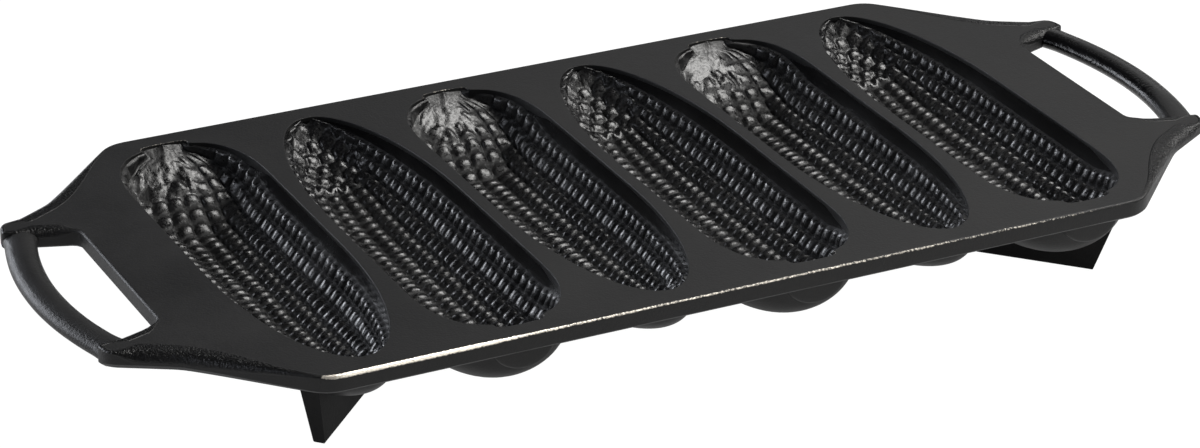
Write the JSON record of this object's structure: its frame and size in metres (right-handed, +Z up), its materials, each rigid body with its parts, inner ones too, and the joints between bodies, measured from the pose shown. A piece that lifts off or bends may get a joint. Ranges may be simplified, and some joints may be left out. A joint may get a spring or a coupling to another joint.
{
  "type": "corn stick pan",
  "caption": "Cast iron corn stick pan: cob-shaped kernelled cups side by side in a flat plate, with a loop handle at each end and low blade feet.",
  "frame": {"origin": "under the middle of the pan, on the level that the feet stand on", "axes": "+X along the pan from left handle to right handle, +Y across it towards the rear, +Z up"},
  "size_m": [0.372, 0.1648, 0.0295],
  "materials": {
    "pan_iron": "seasoned black iron with a fine sand-cast grain and a satin sheen",
    "kernel_iron": "seasoned black iron, glossier where oil gathers between the kernels"
  },
  "bodies": {
    "root": {"top_plate": "pan_iron", "corn_cup_1": "pan_iron", "corn_cup_2": "pan_iron", "corn_cup_3": "pan_iron", "corn_cup_4": "pan_iron", "corn_cup_5": "pan_iron", "corn_cup_6": "pan_iron", "kernel_lining_1": "kernel_iron", "kernel_lining_2": "kernel_iron", "kernel_lining_3": "kernel_iron", "kernel_lining_4": "kernel_iron", "kernel_lining_5": "kernel_iron", "kernel_lining_6": "kernel_iron", "left_handle": "pan_iron", "right_handle": "pan_iron", "foot_front_left": "pan_iron", "foot_front_right": "pan_iron", "foot_rear_left": "pan_iron", "foot_rear_right": "pan_iron"}
  },
  "joints": []
}
